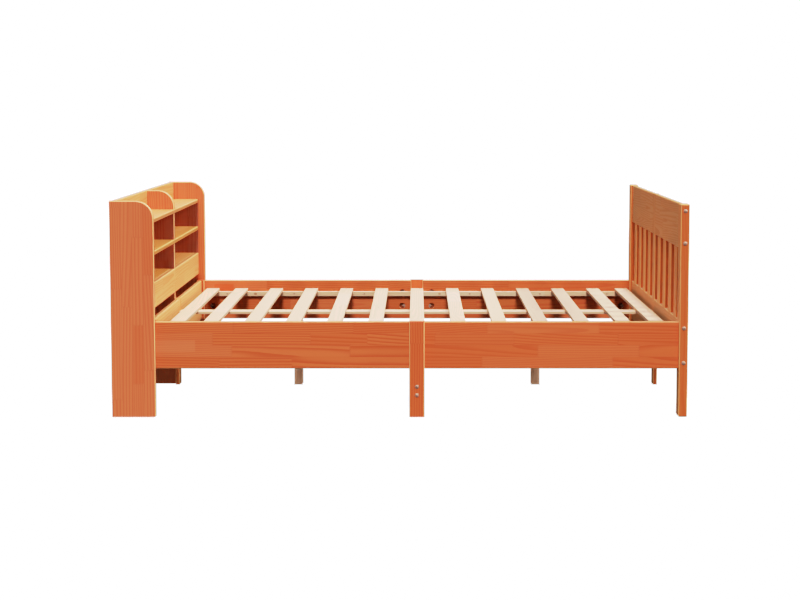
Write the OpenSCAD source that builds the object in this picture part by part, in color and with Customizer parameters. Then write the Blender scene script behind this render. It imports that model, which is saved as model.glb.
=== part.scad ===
// Bed frame of stained pine with a bookcase headboard, a slatted footboard and a
// screwed slat deck. Units are millimetres. +X runs from the head to the foot,
// +Z is up, and the origin is on the floor under the middle of the frame.
// Left is the -Y side, as seen by someone at the foot who faces the head.

/* [Overall] */
// Width over the side panels and the foot posts
bed_w = 1455; // [1250:1:1700]
// Height of the underside of the rails above the floor
rail_bottom = 188; // [160:1:215]
// Rounding on the long edges of the stained boards
ease_r = 5; // [2:0.5:5.5]

/* [Side rails] */
// Length of one side rail; two of them make a side
rail_len = 990; // [900:1:1050]
// Height of the rails at the sides, the head and the foot
rail_h = 186; // [170:1:210]
// Thickness of the rails at the sides and the head
rail_t = 18; // [16:0.5:21]
// Width along the bed of the leg in the middle of a side
leg_w = 60; // [50:1:70]
// Thickness of the leg in the middle of a side
leg_t = 35; // [32:0.5:40]

/* [Bookcase] */
// Depth of the bookcase from its back edge to the side panels' front edge
case_depth = 171; // [160:1:200]
// Height of the side panels and the divider
case_h = 846; // [830:1:880]
// Thickness of the side panels
case_t = 18; // [16:0.5:21]
// Radius of the round top corner of the side panels and the divider
corner_r = 72; // [50:1:85]
// Distance of the shelf fronts behind the side panels' front edge
shelf_setback = 33; // [30:1:40]
// Thickness of the shelves
shelf_t = 18; // [16:0.5:20]
// Distance of the upper shelf's top face below the side panels' top edge
top_space = 83; // [70:1:100]
// Clear height between the upper and the middle shelf
upper_space = 113; // [105:1:125]
// Clear height between the middle and the lower shelf
lower_space = 109; // [100:1:120]
// Thickness of the divider
divider_t = 18; // [16:0.5:21]
// Thickness of the back panel
back_t = 18; // [12:0.5:18]
// Distance of the back panel in front of the side panels' back edge
back_inset = 4; // [2:0.5:8]
// Height of the open slot between the head rails and the apron boards
slot_h = 27; // [15:0.5:45]
// Thickness of the apron boards
apron_t = 18; // [16:0.5:20]

/* [Head frame] */
// Width of the leg in the middle of the head
head_leg_w = 60; // [50:1:75]
// Width and depth of the square block in each head corner
block_w = 35; // [34:0.5:38]
// Distance of the corner blocks behind the side panels' front edge
block_setback = 2; // [1:0.5:5]

/* [Foot frame] */
// Size of a foot post along the bed
post_w = 35; // [32:0.5:42]
// Size of a foot post across the bed
post_d = 60; // [55:1:70]
// Height of the foot posts
post_h = 833; // [810:1:870]
// Bevel round both ends of a post
post_bevel = 4; // [2:0.5:5]
// Thickness of the footboard's panels, rails, middle post and spindles
foot_t = 18; // [16:0.5:20]
// Height of the footboard's upper panel
foot_panel_h = 176; // [150:1:200]
// Distance of the upper panel's top edge below the post tops
foot_drop = 2; // [1:0.5:6]
// Width of the footboard's middle post
foot_mid_w = 60; // [50:1:75]
// Width of a spindle
spindle_w = 60; // [45:1:70]

/* [Deck] */
// Width of a slat
slat_w = 60; // [50:1:70]
// Thickness of a slat
slat_t = 14; // [12:0.5:16]
// Distance of the slats' top face below the rails' top edge
deck_drop = 39; // [32:1:45]
// Gap between the head rail and the first slat
head_gap = 24.5; // [15:0.5:35]
// Centre distance of the last two slats at each end
end_pitch = 137; // [120:1:160]
// Width of the ledger strips that carry the slat ends
ledger_w = 22; // [20:0.5:26]
// Height of the ledger strips
ledger_h = 22; // [20:0.5:30]
// Width of the beam under the middle of the slats
beam_w = 60; // [50:1:70]
// Height of the beam
beam_h = 12; // [11:0.5:16]
// Length of the half lap where the two beam halves meet
lap_len = 80; // [60:1:110]
// Size of a centre leg along the bed
center_leg_w = 35; // [30:0.5:45]
// Size of a centre leg across the bed
center_leg_d = 60; // [50:1:70]
// Distance of the centre legs from the middle of the sides
center_leg_offset = 516; // [440:1:540]
// Width of the stretcher between the middle side legs
stretcher_w = 35; // [32:0.5:40]
// Height of the stretcher
stretcher_h = 60; // [58:1:80]
// Height of the stretcher's middle above the floor
stretcher_z = 103; // [90:1:115]
// Thickness of the cleats that carry the beam's ends
cleat_t = 20; // [18:0.5:22]
// Height of the cleats
cleat_h = 40; // [34:1:50]

/* [Fasteners] */
// Diameter of the connector bolts
bolt_d = 8; // [6:0.5:8]
// Diameter of the connector bolts' domed heads
bolt_head_d = 16; // [14:0.5:18]
// Distance of the footboard bolts from a board's edge
bolt_inset = 25; // [20:0.5:32]
// Distance between the two bolts in a middle side leg
leg_bolt_gap = 34; // [26:1:40]
// Diameter of the barrel nuts
barrel_d = 12; // [11:0.5:14]
// Distance of a barrel nut from the end of its board
barrel_dist = 30; // [24:1:40]
// Diameter of the tie rods in the ends of the side rails
rod_d = 6; // [5:0.5:6]
// Diameter of the round pockets that take the tie rods' nuts
pocket_d = 28; // [24:0.5:30]
// Distance of a pocket's centre from the end of its rail
pocket_dist = 40; // [36:0.5:45]
// Height of the lower pocket above the rail's bottom edge
pocket_low = 62; // [50:0.5:70]
// Height of the upper pocket above the rail's bottom edge
pocket_high = 128; // [115:0.5:135]
// Diameter of the wooden dowels
dowel_d = 8; // [6:0.5:9]
// Diameter of the wood screws
screw_d = 4; // [3:0.25:4.5]
// Length of the screws that hold the ledgers and the cleats
long_screw = 34; // [32:0.5:35]

/* [Hidden] */
$fn = 48;

// Colours of the two woods and the metal
STAIN = [0.81, 0.43, 0.24];
PINE = [0.91, 0.85, 0.76];
STEEL = [0.75, 0.76, 0.78];

// Sides as signs: left is -Y and right is +Y, head is -X and foot is +X
LEFT = -1;
RIGHT = 1;
HEAD = -1;
FOOT = 1;

// How far a cutting shape runs past the face that it cuts
over = 1;
// Gap left between parts that slide together, measured per side
slide_fit = 0.2;
// Extra diameter of a hole over the dowel, rod, bolt or screw in it
hole_fit = 0.3;

// Rounding on the edges of the unstained deck strips
strip_ease = 2;
// Bevel at the lower front corner of the side panels and the divider
toe_bevel = 4;
// Gap between a slat's end and the rail's inner face
slat_gap = 2;
// Gap between the beam's ends and the boards that they face
beam_gap = 2;
// Number of slats, one node each, and the middle one's index
slat_count = 13;
slat_mid = (slat_count - 1) / 2;
// Number of spindles in one half of the footboard
spindle_count = 4;
// Stub tenon on both ends of a spindle: length, share left at each side and thickness
tenon_len = 12;
tenon_shoulder = 10;
tenon_t = 9;

// Connector bolt: height of the head and of its rim, socket size and depth, and the
// thread past the barrel nut
bolt_head_h = 4.5;
bolt_rim_h = 1;
bolt_socket = 5;
bolt_socket_depth = 2.5;
bolt_tail = 3;
// Length of a barrel nut
barrel_len = 12;
// Tie rod: reach into the post or block, nut size across flats, nut thickness
rod_reach = 28;
nut_af = 10;
nut_t = 5;
// Crescent washer between a rod's nut and the round wall of its pocket
crescent_t = 5;
crescent_h = 10;
// Pocket depth, so that the nut on the rail's middle plane clears its floor
pocket_depth = rail_t / 2 + nut_af / 2 + 0.5;
// Wooden dowels: depth in the thinner board and in the other one, row inset
dowel_short = 10;
dowel_long = 20;
dowel_inset = 40;
// Wood screws: countersunk head
screw_head_d = 2 * screw_d;
screw_head_h = screw_d / 2;
// Distance of paired screws from the centre line
screw_pair_y = 15;
// The shorter screws end this far above the beam's underside
screw_stop = 1;
short_screw = slat_t + beam_h - screw_stop;

// Places along the bed
bed_len = case_depth - block_setback + 2 * rail_len + leg_w + post_w;
case_x0 = -bed_len / 2;
case_x1 = case_x0 + case_depth;
back_x0 = case_x0 + back_inset;
back_x1 = back_x0 + back_t;
shelf_x1 = case_x1 - shelf_setback;
shelf_depth = shelf_x1 - back_x1;
head_face = shelf_x1 + rail_t;
block_x1 = case_x1 - block_setback;
block_x0 = block_x1 - block_w;
leg_x = block_x1 + rail_len + leg_w / 2;
post_x0 = block_x1 + 2 * rail_len + leg_w;
post_x = post_x0 + post_w / 2;
foot_x0 = post_x - foot_t / 2;

// Places across the bed, as distances from the middle plane
half_w = bed_w / 2;
inner_y = half_w - case_t;
rail_y = inner_y - rail_t / 2;
deck_y = inner_y - rail_t;
block_y = inner_y - block_w;
post_y = half_w - post_d;
slat_end = deck_y - slat_gap;
ledger_y = deck_y - ledger_w / 2;

// Heights
rail_top = rail_bottom + rail_h;
foot_top = post_h - foot_drop;
foot_panel_z = foot_top - foot_panel_h;
slat_top = rail_top - deck_drop;
slat_z = slat_top - slat_t;
ledger_z = slat_z - ledger_h;
beam_z = slat_z - beam_h;
shelf_top_z = case_h - top_space;
shelf_mid_z = shelf_top_z - shelf_t - upper_space;
shelf_low_z = shelf_mid_z - shelf_t - lower_space;
apron_z = rail_top + slot_h;
apron_h = shelf_low_z - apron_z;

// Slat places: even steps, with a shorter one at each end
slat_first = head_face + head_gap + slat_w / 2;
slat_pitch = (leg_x - slat_first - end_pitch) / (slat_mid - 1);
// Distance of the slat that is k places from the middle one
function slat_offset(k) = min(k, slat_mid - 1) * slat_pitch + (k == slat_mid ? end_pitch : 0);
function slat_x(i) = leg_x + sign(i - slat_mid) * slat_offset(abs(i - slat_mid));
// The middle slat lies on the joint of the ledgers, so its screws stand beside it
function slat_screw_x(i) = slat_x(i) + (i == slat_mid ? slat_w / 4 : 0);
// Screws that hold a ledger stand midway between slats
function ledger_screw_x(end) =
    [for (k = [1 : 2 : slat_mid - 1]) leg_x + end * (slat_offset(k) + slat_offset(k + 1)) / 2];

// Spindles stand evenly between the middle post and the corner post
spindle_gap = (post_y - foot_mid_w / 2 - spindle_count * spindle_w) / (spindle_count + 1);
function spindle_y(i) = foot_mid_w / 2 + (i + 1) * spindle_gap + (i + 0.5) * spindle_w;

// Bolts of a foot post and of a middle side leg, as X and Z, and their lengths
post_bolts = [
    [post_x, rail_bottom + bolt_inset], [post_x, rail_top - bolt_inset],
    [post_x, foot_panel_z + bolt_inset], [post_x, foot_top - bolt_inset]
];
leg_bolts = [[leg_x, stretcher_z - leg_bolt_gap / 2], [leg_x, stretcher_z + leg_bolt_gap / 2]];
post_bolt_len = post_d + barrel_dist + barrel_d / 2 + bolt_tail;
leg_bolt_len = leg_t + barrel_dist + barrel_d / 2 + bolt_tail;
// Radius of the sphere through the crown and the rim of a bolt head
head_rise = bolt_head_h - bolt_rim_h;
head_sphere_r = (pow(bolt_head_d / 2, 2) + pow(head_rise, 2)) / (2 * head_rise);

// Heights of the rail pockets, and their centres along a side, each with the direction
// in which its joint lies
pocket_z = [rail_bottom + pocket_low, rail_bottom + pocket_high];
pocket_places = [
    [block_x1 + pocket_dist, HEAD], [leg_x - leg_w / 2 - pocket_dist, FOOT],
    [leg_x + leg_w / 2 + pocket_dist, HEAD], [post_x0 - pocket_dist, FOOT]
];

// Places of the dowels
rail_dowel_z = [rail_bottom + dowel_inset, rail_top - dowel_inset];
panel_dowel_z = [foot_panel_z + dowel_inset, foot_top - dowel_inset];
shelf_dowel_x = [back_x1 + shelf_depth / 4, back_x1 + shelf_depth / 2];
shelf_tops = [shelf_top_z, shelf_mid_z, shelf_low_z];

// Plane where the shelves' slots meet the divider's notches
lap_x = back_x1 + shelf_depth / 2;

// Lowest Y of a stretch that runs from a to b away from the middle plane, on one side
function side_y(side, a, b) = side > 0 ? a : -b;

// Rectangle from the origin with its corners rounded, those on the near side only if asked
module eased_rect(w, h, r, near = true) {
    a = near ? r : 0;
    translate([a, 0]) square([w - a - r, h]);
    translate([0, near ? r : 0]) square([w - r, near ? h - 2 * r : h]);
    translate([a, r]) square([w - a, h - 2 * r]);
    for (y = [r, h - r]) {
        translate([w - r, y]) circle(r = r);
        if (near) translate([r, y]) circle(r = r);
    }
}

// Board along X, Y or Z from its lowest corner, with its long edges eased
module board_x(at, size, r = ease_r) {
    translate(at) rotate([90, 0, 90]) linear_extrude(size[0]) eased_rect(size[1], size[2], r);
}
module board_y(at, size, r = ease_r, near = true) {
    translate(at + [0, size[1], 0]) rotate([90, 0, 0])
        linear_extrude(size[1]) eased_rect(size[0], size[2], r, near);
}
module board_z(at, size, r = ease_r) {
    translate(at) linear_extrude(size[2]) eased_rect(size[0], size[1], r);
}

// Rectangle with its four corners bevelled
module bevelled_rect(w, h, b) {
    polygon([[b, 0], [w - b, 0], [w, b], [w, h - b], [w - b, h], [b, h], [0, h - b], [0, b]]);
}
// Post along Z with its long edges eased and both its ends bevelled
module bevelled_post(at, size, bevel) {
    intersection() {
        board_z(at, size);
        translate(at) rotate([90, 0, 90]) linear_extrude(size[0])
            bevelled_rect(size[1], size[2], bevel);
        translate(at + [0, size[1], 0]) rotate([90, 0, 0]) linear_extrude(size[1])
            bevelled_rect(size[0], size[2], bevel);
    }
}

// Round bar along X or Y from its lowest end
module bar_x(at, d, len) {
    translate(at) rotate([0, 90, 0]) cylinder(d = d, h = len);
}
module bar_y(at, d, len) {
    translate(at) rotate([-90, 0, 0]) cylinder(d = d, h = len);
}

// Upright of the bookcase, centred on the plane y: square at the back and the floor,
// round at the top front corner, and eased along its front and top edges
module upright(x0, x1, y, thick) {
    depth = x1 - x0;
    translate([x0, y + thick / 2, 0]) rotate([90, 0, 0]) difference() {
        union() {
            translate([0, 0, ease_r]) linear_extrude(thick - 2 * ease_r) upright_outline(depth, 0);
            linear_extrude(thick) upright_outline(depth, ease_r);
            for (z = [ease_r, thick - ease_r]) {
                translate([depth - ease_r, 0, z]) rotate([-90, 0, 0])
                    cylinder(r = ease_r, h = case_h - corner_r);
                translate([0, case_h - ease_r, z]) rotate([0, 90, 0])
                    cylinder(r = ease_r, h = depth - corner_r);
                translate([depth - corner_r, case_h - corner_r, z]) rotate_extrude(angle = 90)
                    translate([corner_r - ease_r, 0]) circle(r = ease_r);
            }
        }
        translate([depth, 0, -over]) linear_extrude(thick + 2 * over)
            polygon([[-toe_bevel, 0], [0, toe_bevel], [over, toe_bevel], [over, -over],
                [-toe_bevel, -over]]);
    }
}
module upright_outline(depth, inset) {
    square([depth - inset, case_h - corner_r]);
    square([depth - corner_r, case_h - inset]);
    translate([depth - corner_r, case_h - corner_r]) intersection() {
        circle(r = corner_r - inset);
        square(corner_r);
    }
}

// Dowel bars of one side, of diameter d; each crosses the plane where two boards meet
module side_dowels(side, d) {
    rail_x = shelf_x1 + rail_t / 2;
    for (z = rail_dowel_z) {
        cross_dowel(side, [block_x0 + block_w / 2, inner_y, z], dowel_long, dowel_short, d);
        cross_dowel(side, [rail_x, block_y, z], dowel_long, dowel_short, d);
        cross_dowel(side, [rail_x, head_leg_w / 2, z], dowel_short, dowel_long, d);
    }
    for (z = concat(rail_dowel_z, panel_dowel_z))
        cross_dowel(side, [post_x, foot_mid_w / 2, z], dowel_long, dowel_long, d);
    for (x = shelf_dowel_x, z = shelf_tops)
        cross_dowel(side, [x, inner_y, z - shelf_t / 2], dowel_long, dowel_short, d);
    cross_dowel(side, [shelf_x1 - apron_t / 2, inner_y, apron_z + apron_h / 2],
        dowel_long, dowel_short, d);
}
// Bar across the joint at, so deep towards the middle plane and so deep away from it
module cross_dowel(side, at, inward, outward, d) {
    bar_y([at[0], side_y(side, at[1] - inward, at[1] + outward), at[2]], d, inward + outward);
}
module dowel_holes(side) {
    side_dowels(side, dowel_d + hole_fit);
}

// Countersunk screw that points down from its flush head at the origin; extra widens it
module screw(len, extra = 0) {
    d = screw_d + extra;
    translate([0, 0, -len]) cylinder(d = d, h = len);
    translate([0, 0, -screw_head_h]) cylinder(d1 = d, d2 = screw_head_d + extra, h = screw_head_h);
}
module slat_screws(i, extra = 0) {
    for (y = [-ledger_y, 0, ledger_y]) translate([slat_screw_x(i), y, slat_top])
        screw(short_screw, extra);
}
module ledger_screws(side, end, extra = 0) {
    for (x = ledger_screw_x(end))
        translate([x, side * (deck_y - ledger_w), ledger_z + ledger_h / 2])
            rotate([side * 90, 0, 0]) screw(long_screw, extra);
}
module leg_screws(end, extra = 0) {
    for (y = [-screw_pair_y, screw_pair_y])
        translate([leg_x + end * center_leg_offset, y, slat_z]) screw(short_screw, extra);
}
module cleat_screws(end, extra = 0) {
    x = end == HEAD ? head_face + cleat_t : foot_x0 - cleat_t;
    for (y = [-screw_pair_y, screw_pair_y])
        translate([x, y, beam_z - cleat_h / 2]) rotate([0, -end * 90, 0])
            screw(long_screw, extra);
}

// Connector bolts of one side, each driven from the outer face towards the middle
module bolt_shanks(side, d, places, len) {
    for (p = places) bar_y([p[0], side_y(side, half_w - len, half_w), p[1]], d, len);
}
module bolt_holes(side) {
    bolt_shanks(side, bolt_d + hole_fit, post_bolts, post_bolt_len);
    bolt_shanks(side, bolt_d + hole_fit, leg_bolts, leg_bolt_len);
}
// Blind holes that take the barrel nuts, drilled into the boards' foot faces
module barrel_holes(side) {
    deep = barrel_len / 2 + slide_fit;
    for (p = post_bolts) bar_x([p[0] - deep, side * (post_y - barrel_dist), p[1]],
        barrel_d + hole_fit, deep + foot_t / 2 + over);
    for (p = leg_bolts) bar_x([p[0] - deep, side * (half_w - leg_t - barrel_dist), p[1]],
        barrel_d + hole_fit, deep + stretcher_w / 2 + over);
}

// Tie rods of one side as bars of diameter d: through the middle leg, and at both ends
module side_rods(side, d) {
    half = leg_w / 2 + pocket_dist;
    for (z = pocket_z) {
        bar_x([leg_x - half, side * rail_y, z], d, 2 * half);
        bar_x([block_x1 - rod_reach, side * rail_y, z], d, rod_reach + pocket_dist);
        bar_x([post_x0 - pocket_dist, side * rail_y, z], d, rod_reach + pocket_dist);
    }
}
module side_pockets(side) {
    for (p = pocket_places, z = pocket_z)
        bar_y([p[0], side_y(side, deck_y - over, deck_y + pocket_depth), z],
            pocket_d, pocket_depth + over);
}

// Bookcase
module side_panel(side) {
    color(STAIN) difference() {
        upright(case_x0, case_x1, side * (half_w - case_t / 2), case_t);
        dowel_holes(side);
    }
}
module bookcase_divider() {
    color(STAIN) difference() {
        upright(back_x1, shelf_x1, 0, divider_t);
        for (z = shelf_tops)
            translate([lap_x, -divider_t, z - shelf_t - slide_fit])
                cube([shelf_depth, 2 * divider_t, shelf_t + 2 * slide_fit]);
        translate([shelf_x1 - apron_t, -divider_t, apron_z])
            cube([shelf_depth, 2 * divider_t, apron_h + slide_fit]);
    }
}
module bookcase_back() {
    color(STAIN) board_y([back_x0, -inner_y, rail_bottom],
        [back_t, 2 * inner_y, case_h - rail_bottom]);
}
// Full-width shelf, slotted from behind for the divider
module shelf(top, depth) {
    color(STAIN) difference() {
        board_y([back_x1, -inner_y, top - shelf_t], [depth, 2 * inner_y, shelf_t], ease_r, false);
        slot_w = divider_t + 2 * slide_fit;
        translate([back_x1 - over, -slot_w / 2, top - 2 * shelf_t])
            cube([lap_x - back_x1 + over, slot_w, 3 * shelf_t]);
        dowel_holes(LEFT);
        dowel_holes(RIGHT);
    }
}
// Apron board under one half of the lower shelf, in front of it and the divider
module apron(side) {
    color(STAIN) difference() {
        board_y([shelf_x1 - apron_t, side_y(side, 0, inner_y), apron_z],
            [apron_t, inner_y, apron_h], ease_r, false);
        dowel_holes(side);
    }
}

// Head frame
module head_rail(side) {
    color(STAIN) difference() {
        board_y([shelf_x1, side_y(side, head_leg_w / 2, block_y), rail_bottom],
            [rail_t, block_y - head_leg_w / 2, rail_h]);
        dowel_holes(side);
    }
}
module head_mid_leg() {
    color(STAIN) difference() {
        board_z([shelf_x1, -head_leg_w / 2, 0], [rail_t, head_leg_w, rail_top]);
        dowel_holes(LEFT);
        dowel_holes(RIGHT);
        cleat_screws(HEAD, hole_fit);
    }
}
module corner_block(side) {
    color(STAIN) difference() {
        board_z([block_x0, side_y(side, block_y, inner_y), rail_bottom],
            [block_w, block_w, rail_h]);
        dowel_holes(side);
        side_rods(side, rod_d + hole_fit);
    }
}

// Sides
module side_rail(side, end) {
    x0 = end == HEAD ? block_x1 : leg_x + leg_w / 2;
    color(STAIN) difference() {
        board_x([x0, side_y(side, deck_y, inner_y), rail_bottom], [rail_len, rail_t, rail_h]);
        side_rods(side, rod_d + hole_fit);
        side_pockets(side);
        ledger_screws(side, end, hole_fit);
    }
}
module side_leg(side) {
    color(STAIN) difference() {
        board_z([leg_x - leg_w / 2, side_y(side, half_w - leg_t, half_w), 0],
            [leg_w, leg_t, rail_top]);
        side_rods(side, rod_d + hole_fit);
        bolt_holes(side);
    }
}

// Foot frame
module foot_post(side) {
    color(STAIN) difference() {
        bevelled_post([post_x0, side_y(side, post_y, half_w), 0],
            [post_w, post_d, post_h], post_bevel);
        side_rods(side, rod_d + hole_fit);
        bolt_holes(side);
    }
}
module foot_mid_post() {
    color(STAIN) difference() {
        board_z([foot_x0, -foot_mid_w / 2, 0], [foot_t, foot_mid_w, foot_top]);
        dowel_holes(LEFT);
        dowel_holes(RIGHT);
        cleat_screws(FOOT, hole_fit);
    }
}
// Board between the middle post and a corner post, mortised for the spindles in its edge
// at the height edge_z
module foot_board(side, z, h, edge_z) {
    color(STAIN) difference() {
        board_y([foot_x0, side_y(side, foot_mid_w / 2, post_y), z],
            [foot_t, post_y - foot_mid_w / 2, h]);
        dowel_holes(side);
        bolt_holes(side);
        barrel_holes(side);
        for (i = [0 : spindle_count - 1])
            spindle_tenon(side * spindle_y(i), edge_z - tenon_len, 2 * tenon_len, slide_fit);
    }
}
module spindle_tenon(y, z, len, grow = 0) {
    w = spindle_w - 2 * tenon_shoulder + 2 * grow;
    t = tenon_t + 2 * grow;
    translate([post_x - t / 2, y - w / 2, z]) cube([t, w, len]);
}
module foot_spindles(side) {
    color(STAIN) for (i = [0 : spindle_count - 1]) {
        y = side * spindle_y(i);
        board_z([foot_x0, y - spindle_w / 2, rail_top],
            [foot_t, spindle_w, foot_panel_z - rail_top]);
        spindle_tenon(y, rail_top - tenon_len, foot_panel_z - rail_top + 2 * tenon_len);
    }
}

// Deck
module ledger(side, end) {
    len = rail_len + leg_w / 2;
    color(PINE) difference() {
        board_x([end == HEAD ? block_x1 : leg_x, side_y(side, deck_y - ledger_w, deck_y), ledger_z],
            [len, ledger_w, ledger_h], strip_ease);
        ledger_screws(side, end, hole_fit);
        for (i = [0 : slat_count - 1]) slat_screws(i, hole_fit);
    }
}
module slat(i) {
    color(PINE) difference() {
        board_y([slat_x(i) - slat_w / 2, -slat_end, slat_z],
            [slat_w, 2 * slat_end, slat_t], strip_ease);
        slat_screws(i, hole_fit);
    }
}
module cross_stretcher() {
    reach = half_w - leg_t;
    color(PINE) difference() {
        board_y([leg_x - stretcher_w / 2, -reach, stretcher_z - stretcher_h / 2],
            [stretcher_w, 2 * reach, stretcher_h], strip_ease);
        for (side = [LEFT, RIGHT]) {
            bolt_holes(side);
            barrel_holes(side);
        }
    }
}
// Half of the beam; the head half's end lies over the foot half's end in a half lap
module center_beam(end) {
    x0 = end == HEAD ? head_face + beam_gap : leg_x - lap_len / 2;
    x1 = end == HEAD ? leg_x + lap_len / 2 : foot_x0 - beam_gap;
    color(PINE) difference() {
        board_x([x0, -beam_w / 2, beam_z], [x1 - x0, beam_w, beam_h], strip_ease);
        translate([end == HEAD ? leg_x - lap_len / 2 : x0 - over, -beam_w,
            beam_z + end * beam_h / 2])
            cube([lap_len + over, 2 * beam_w, beam_h]);
        for (i = [0 : slat_count - 1]) slat_screws(i, hole_fit);
        leg_screws(end, hole_fit);
    }
}
module center_leg(end) {
    color(PINE) difference() {
        board_z([leg_x + end * center_leg_offset - center_leg_w / 2, -center_leg_d / 2, 0],
            [center_leg_w, center_leg_d, beam_z], strip_ease);
        leg_screws(end, hole_fit);
    }
}
module beam_cleat(end) {
    x0 = end == HEAD ? head_face : foot_x0 - cleat_t;
    color(PINE) difference() {
        board_y([x0, -beam_w / 2, beam_z - cleat_h], [cleat_t, beam_w, cleat_h], strip_ease);
        cleat_screws(end, hole_fit);
    }
}

// Fasteners
module bolt_head() {
    difference() {
        rotate_extrude() intersection() {
            translate([0, bolt_head_h - head_sphere_r]) circle(r = head_sphere_r);
            square([bolt_head_d / 2, bolt_head_h]);
        }
        translate([0, 0, bolt_head_h - bolt_socket_depth])
            cylinder(d = bolt_socket / cos(30), h = bolt_socket_depth + over, $fn = 6);
    }
}
module connector_bolts() {
    color(STEEL) for (side = [LEFT, RIGHT]) {
        bolt_shanks(side, bolt_d, post_bolts, post_bolt_len);
        bolt_shanks(side, bolt_d, leg_bolts, leg_bolt_len);
        for (p = concat(post_bolts, leg_bolts))
            translate([p[0], side * half_w, p[1]]) rotate([-side * 90, 0, 0]) bolt_head();
    }
}
module barrel_nuts() {
    color(STEEL) for (side = [LEFT, RIGHT]) difference() {
        union() {
            for (p = post_bolts)
                bar_x([p[0] - barrel_len / 2, side * (post_y - barrel_dist), p[1]],
                    barrel_d, barrel_len);
            for (p = leg_bolts)
                bar_x([p[0] - barrel_len / 2, side * (half_w - leg_t - barrel_dist), p[1]],
                    barrel_d, barrel_len);
        }
        bolt_holes(side);
    }
}
module tie_rods() {
    color(STEEL) for (side = [LEFT, RIGHT]) side_rods(side, rod_d);
}
module rod_nuts() {
    color(STEEL) for (side = [LEFT, RIGHT]) difference() {
        for (p = pocket_places, z = pocket_z)
            translate([p[0] + p[1] * (pocket_d / 2 - crescent_t - nut_t / 2), side * rail_y, z])
                rotate([0, 90, 0]) cylinder(d = nut_af / cos(30), h = nut_t, center = true, $fn = 6);
        side_rods(side, rod_d + hole_fit);
    }
}
module crescent_washers() {
    color(STEEL) for (side = [LEFT, RIGHT]) difference() {
        for (p = pocket_places, z = pocket_z) translate([p[0], side * rail_y, z]) intersection() {
            rotate([90, 0, 0]) cylinder(d = pocket_d - hole_fit, h = crescent_h, center = true);
            translate([p[1] * (pocket_d - crescent_t / 2), 0, 0])
                cube([pocket_d + crescent_t, pocket_d, pocket_d], center = true);
        }
        side_rods(side, rod_d + hole_fit);
    }
}
module dowels() {
    color(PINE) for (side = [LEFT, RIGHT]) side_dowels(side, dowel_d);
}
module wood_screws() {
    color(STEEL) {
        for (i = [0 : slat_count - 1]) slat_screws(i);
        for (end = [HEAD, FOOT]) {
            leg_screws(end);
            cleat_screws(end);
            for (side = [LEFT, RIGHT]) ledger_screws(side, end);
        }
    }
}

side_panel(LEFT);  // side_panel_left
side_panel(RIGHT);  // side_panel_right
bookcase_divider();
bookcase_back();
shelf(shelf_top_z, shelf_depth);  // shelf_top
shelf(shelf_mid_z, shelf_depth);  // shelf_middle
shelf(shelf_low_z, shelf_depth - apron_t);  // shelf_bottom
apron(LEFT);  // apron_left
apron(RIGHT);  // apron_right
head_rail(LEFT);  // head_rail_left
head_rail(RIGHT);  // head_rail_right
head_mid_leg();
corner_block(LEFT);  // corner_block_left
corner_block(RIGHT);  // corner_block_right
side_rail(LEFT, HEAD);  // side_rail_left_head
side_rail(LEFT, FOOT);  // side_rail_left_foot
side_rail(RIGHT, HEAD);  // side_rail_right_head
side_rail(RIGHT, FOOT);  // side_rail_right_foot
side_leg(LEFT);  // side_leg_left
side_leg(RIGHT);  // side_leg_right
ledger(LEFT, HEAD);  // ledger_left_head
ledger(LEFT, FOOT);  // ledger_left_foot
ledger(RIGHT, HEAD);  // ledger_right_head
ledger(RIGHT, FOOT);  // ledger_right_foot
cross_stretcher();
center_beam(HEAD);  // center_beam_head
center_beam(FOOT);  // center_beam_foot
center_leg(HEAD);  // center_leg_head
center_leg(FOOT);  // center_leg_foot
beam_cleat(HEAD);  // beam_cleat_head
beam_cleat(FOOT);  // beam_cleat_foot
foot_post(LEFT);  // foot_post_left
foot_post(RIGHT);  // foot_post_right
foot_mid_post();
foot_board(LEFT, foot_panel_z, foot_panel_h, foot_panel_z);  // foot_panel_left
foot_board(RIGHT, foot_panel_z, foot_panel_h, foot_panel_z);  // foot_panel_right
foot_board(LEFT, rail_bottom, rail_h, rail_top);  // foot_rail_left
foot_board(RIGHT, rail_bottom, rail_h, rail_top);  // foot_rail_right
foot_spindles(LEFT);  // foot_spindles_left
foot_spindles(RIGHT);  // foot_spindles_right
slat(0);  // slat_01
slat(1);  // slat_02
slat(2);  // slat_03
slat(3);  // slat_04
slat(4);  // slat_05
slat(5);  // slat_06
slat(6);  // slat_07
slat(7);  // slat_08
slat(8);  // slat_09
slat(9);  // slat_10
slat(10);  // slat_11
slat(11);  // slat_12
slat(12);  // slat_13
connector_bolts();
barrel_nuts();
tie_rods();
rod_nuts();
crescent_washers();
dowels();
wood_screws();
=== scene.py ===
"""Looks of the pine bed frame: stained boards, raw deck strips, zinc-plated fittings.

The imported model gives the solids. This script dresses each board with pine that is
glued up from finger-jointed strips, gives the fittings their metal, makes the wood
screws with their recesses, and sets up the white studio and the camera.
"""

import logging
import math
from dataclasses import dataclass, field, replace
from enum import Enum
from typing import Any, Sequence, Union

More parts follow.
